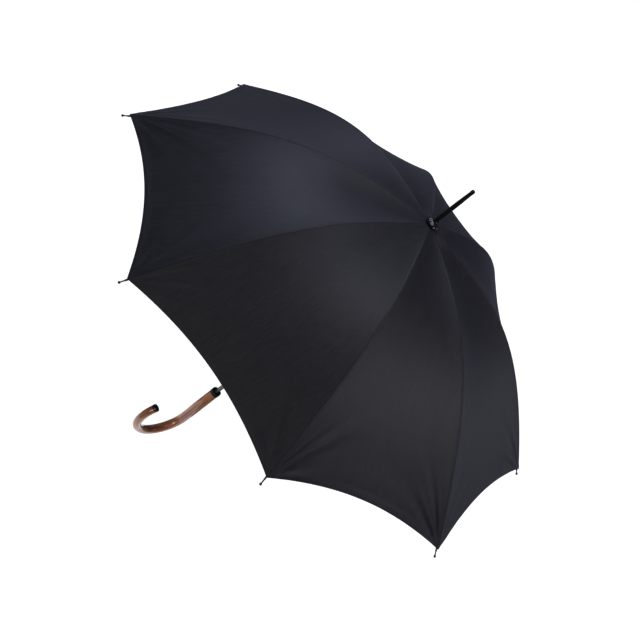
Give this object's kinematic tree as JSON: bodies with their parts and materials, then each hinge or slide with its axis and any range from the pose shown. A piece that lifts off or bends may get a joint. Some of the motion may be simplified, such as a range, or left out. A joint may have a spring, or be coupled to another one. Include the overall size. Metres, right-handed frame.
{
  "type": "stick umbrella",
  "caption": "Open stick umbrella with a scalloped fabric canopy on bowed ribs, a steel shaft with a sliding runner, a long ferrule and a wooden crook handle.",
  "frame": {"origin": "on the shaft's axis, level with the lowest point of the crook", "axes": "+Z along the shaft towards the ferrule; the crook bends towards +Y; a rib lies over +X"},
  "size_m": [0.998, 0.998, 0.853],
  "materials": {
    "canopy_fabric": "satin woven polyester, faint blue-grey sheen",
    "strap_webbing": "folded and stitched band of the canopy cloth",
    "black_steel": "black lacquered spring steel",
    "black_enamel": "glossy black enamel",
    "bright_steel": "bright drawn steel",
    "shaft_steel": "grey polished steel tube",
    "black_plastic": "glossy black moulding",
    "varnished_wood": "red-brown stained wood under gloss varnish"
  },
  "bodies": {
    "shaft_assembly": {"crown_cap": "black_plastic", "crown_hub": "black_plastic", "crown_washer": "canopy_fabric", "crown_wire": "bright_steel", "ferrule": "black_enamel", "ferrule_tip": "black_enamel", "handle": "varnished_wood", "handle_collar": "black_plastic", "handle_end_cap": "black_plastic", "handle_pin": "bright_steel", "shaft": "shaft_steel", "stop_pin": "bright_steel"},
    "runner": {"runner": "black_plastic"},
    "top_catch": {"top_catch": "bright_steel"},
    "bottom_catch": {"bottom_catch": "bright_steel"},
    "rib_1": {"rib_1": "black_steel", "rib_tip_1": "black_enamel", "rib_rivet_1": "bright_steel", "canopy_gore_1": "canopy_fabric"},
    "stretcher_1": {"stretcher_1": "black_steel"},
    "rib_2": {"rib_2": "black_steel", "rib_tip_2": "black_enamel", "rib_rivet_2": "bright_steel", "canopy_gore_2": "canopy_fabric"},
    "stretcher_2": {"stretcher_2": "black_steel"},
    "rib_3": {"rib_3": "black_steel", "rib_tip_3": "black_enamel", "rib_rivet_3": "bright_steel", "canopy_gore_3": "canopy_fabric"},
    "stretcher_3": {"stretcher_3": "black_steel"},
    "rib_4": {"rib_4": "black_steel", "rib_tip_4": "black_enamel", "rib_rivet_4": "bright_steel", "canopy_gore_4": "canopy_fabric"},
    "stretcher_4": {"stretcher_4": "black_steel"},
    "rib_5": {"rib_5": "black_steel", "rib_tip_5": "black_enamel", "rib_rivet_5": "bright_steel", "canopy_gore_5": "canopy_fabric"},
    "stretcher_5": {"stretcher_5": "black_steel"},
    "rib_6": {"rib_6": "black_steel", "rib_tip_6": "black_enamel", "rib_rivet_6": "bright_steel", "canopy_gore_6": "canopy_fabric"},
    "stretcher_6": {"stretcher_6": "black_steel"},
    "rib_7": {"rib_7": "black_steel", "rib_tip_7": "black_enamel", "rib_rivet_7": "bright_steel", "canopy_gore_7": "canopy_fabric", "closure_strap": "strap_webbing", "snap_socket": "black_enamel", "snap_stud": "black_enamel"},
    "stretcher_7": {"stretcher_7": "black_steel"},
    "rib_8": {"rib_8": "black_steel", "rib_tip_8": "black_enamel", "rib_rivet_8": "bright_steel", "canopy_gore_8": "canopy_fabric"},
    "stretcher_8": {"stretcher_8": "black_steel"}
  },
  "joints": [
    {"name": "runner_slide", "type": "slide", "parent": "shaft_assembly", "child": "runner", "axis": [0, 0, -1], "range_m": [0, 0.2848], "deforming": ["canopy_gore_1", "canopy_gore_2", "canopy_gore_3", "canopy_gore_4", "canopy_gore_5", "canopy_gore_6", "canopy_gore_7", "canopy_gore_8", "closure_strap", "snap_socket", "snap_stud"]},
    {"name": "rib_1_hinge", "type": "hinge", "parent": "shaft_assembly", "child": "rib_1", "pos_m": [0.01, 0, 0.7485], "axis": [0, 1, 0], "range_deg": [0, 59.33]},
    {"name": "stretcher_1_hinge", "type": "hinge", "parent": "rib_1", "child": "stretcher_1", "pos_m": [0.22945, 0, 0.69882], "axis": [0, -1, 0], "range_deg": [0, 104.64]},
    {"name": "rib_2_hinge", "type": "hinge", "parent": "shaft_assembly", "child": "rib_2", "pos_m": [0.00707, 0.00707, 0.7485], "axis": [-0.7071, 0.7071, 0], "range_deg": [0, 59.33]},
    {"name": "stretcher_2_hinge", "type": "hinge", "parent": "rib_2", "child": "stretcher_2", "pos_m": [0.16224, 0.16224, 0.69882], "axis": [0.7071, -0.7071, 0], "range_deg": [0, 104.64]},
    {"name": "rib_3_hinge", "type": "hinge", "parent": "shaft_assembly", "child": "rib_3", "pos_m": [0, 0.01, 0.7485], "axis": [-1, 0, 0], "range_deg": [0, 59.33]},
    {"name": "stretcher_3_hinge", "type": "hinge", "parent": "rib_3", "child": "stretcher_3", "pos_m": [0, 0.22945, 0.69882], "axis": [1, 0, 0], "range_deg": [0, 104.64]},
    {"name": "rib_4_hinge", "type": "hinge", "parent": "shaft_assembly", "child": "rib_4", "pos_m": [-0.00707, 0.00707, 0.7485], "axis": [-0.7071, -0.7071, 0], "range_deg": [0, 59.33]},
    {"name": "stretcher_4_hinge", "type": "hinge", "parent": "rib_4", "child": "stretcher_4", "pos_m": [-0.16224, 0.16224, 0.69882], "axis": [0.7071, 0.7071, 0], "range_deg": [0, 104.64]},
    {"name": "rib_5_hinge", "type": "hinge", "parent": "shaft_assembly", "child": "rib_5", "pos_m": [-0.01, 0, 0.7485], "axis": [0, -1, 0], "range_deg": [0, 59.33]},
    {"name": "stretcher_5_hinge", "type": "hinge", "parent": "rib_5", "child": "stretcher_5", "pos_m": [-0.22945, 0, 0.69882], "axis": [0, 1, 0], "range_deg": [0, 104.64]},
    {"name": "rib_6_hinge", "type": "hinge", "parent": "shaft_assembly", "child": "rib_6", "pos_m": [-0.00707, -0.00707, 0.7485], "axis": [0.7071, -0.7071, 0], "range_deg": [0, 59.33]},
    {"name": "stretcher_6_hinge", "type": "hinge", "parent": "rib_6", "child": "stretcher_6", "pos_m": [-0.16224, -0.16224, 0.69882], "axis": [-0.7071, 0.7071, 0], "range_deg": [0, 104.64]},
    {"name": "rib_7_hinge", "type": "hinge", "parent": "shaft_assembly", "child": "rib_7", "pos_m": [0, -0.01, 0.7485], "axis": [1, 0, 0], "range_deg": [0, 59.33]},
    {"name": "stretcher_7_hinge", "type": "hinge", "parent": "rib_7", "child": "stretcher_7", "pos_m": [0, -0.22945, 0.69882], "axis": [-1, 0, 0], "range_deg": [0, 104.64]},
    {"name": "rib_8_hinge", "type": "hinge", "parent": "shaft_assembly", "child": "rib_8", "pos_m": [0.00707, -0.00707, 0.7485], "axis": [0.7071, 0.7071, 0], "range_deg": [0, 59.33]},
    {"name": "stretcher_8_hinge", "type": "hinge", "parent": "rib_8", "child": "stretcher_8", "pos_m": [0.16224, -0.16224, 0.69882], "axis": [-0.7071, -0.7071, 0], "range_deg": [0, 104.64]},
    {"name": "top_catch_press", "type": "slide", "parent": "shaft_assembly", "child": "top_catch", "axis": [-1, 0, 0], "range_m": [0, 0.0024], "stiffness_N_per_m": 500, "springref_m": -0.001},
    {"name": "bottom_catch_press", "type": "slide", "parent": "shaft_assembly", "child": "bottom_catch", "axis": [-1, 0, 0], "range_m": [0, 0.0024], "stiffness_N_per_m": 500, "springref_m": -0.001}
  ],
  "couplings": [
    {"joint": "rib_1_hinge", "follows": "runner_slide", "rad_per_m": 3.6349},
    {"joint": "stretcher_1_hinge", "follows": "runner_slide", "rad_per_m": 6.4105},
    {"joint": "rib_2_hinge", "follows": "runner_slide", "rad_per_m": 3.6349},
    {"joint": "stretcher_2_hinge", "follows": "runner_slide", "rad_per_m": 6.4105},
    {"joint": "rib_3_hinge", "follows": "runner_slide", "rad_per_m": 3.6349},
    {"joint": "stretcher_3_hinge", "follows": "runner_slide", "rad_per_m": 6.4105},
    {"joint": "rib_4_hinge", "follows": "runner_slide", "rad_per_m": 3.6349},
    {"joint": "stretcher_4_hinge", "follows": "runner_slide", "rad_per_m": 6.4105},
    {"joint": "rib_5_hinge", "follows": "runner_slide", "rad_per_m": 3.6349},
    {"joint": "stretcher_5_hinge", "follows": "runner_slide", "rad_per_m": 6.4105},
    {"joint": "rib_6_hinge", "follows": "runner_slide", "rad_per_m": 3.6349},
    {"joint": "stretcher_6_hinge", "follows": "runner_slide", "rad_per_m": 6.4105},
    {"joint": "rib_7_hinge", "follows": "runner_slide", "rad_per_m": 3.6349},
    {"joint": "stretcher_7_hinge", "follows": "runner_slide", "rad_per_m": 6.4105},
    {"joint": "rib_8_hinge", "follows": "runner_slide", "rad_per_m": 3.6349},
    {"joint": "stretcher_8_hinge", "follows": "runner_slide", "rad_per_m": 6.4105}
  ]
}
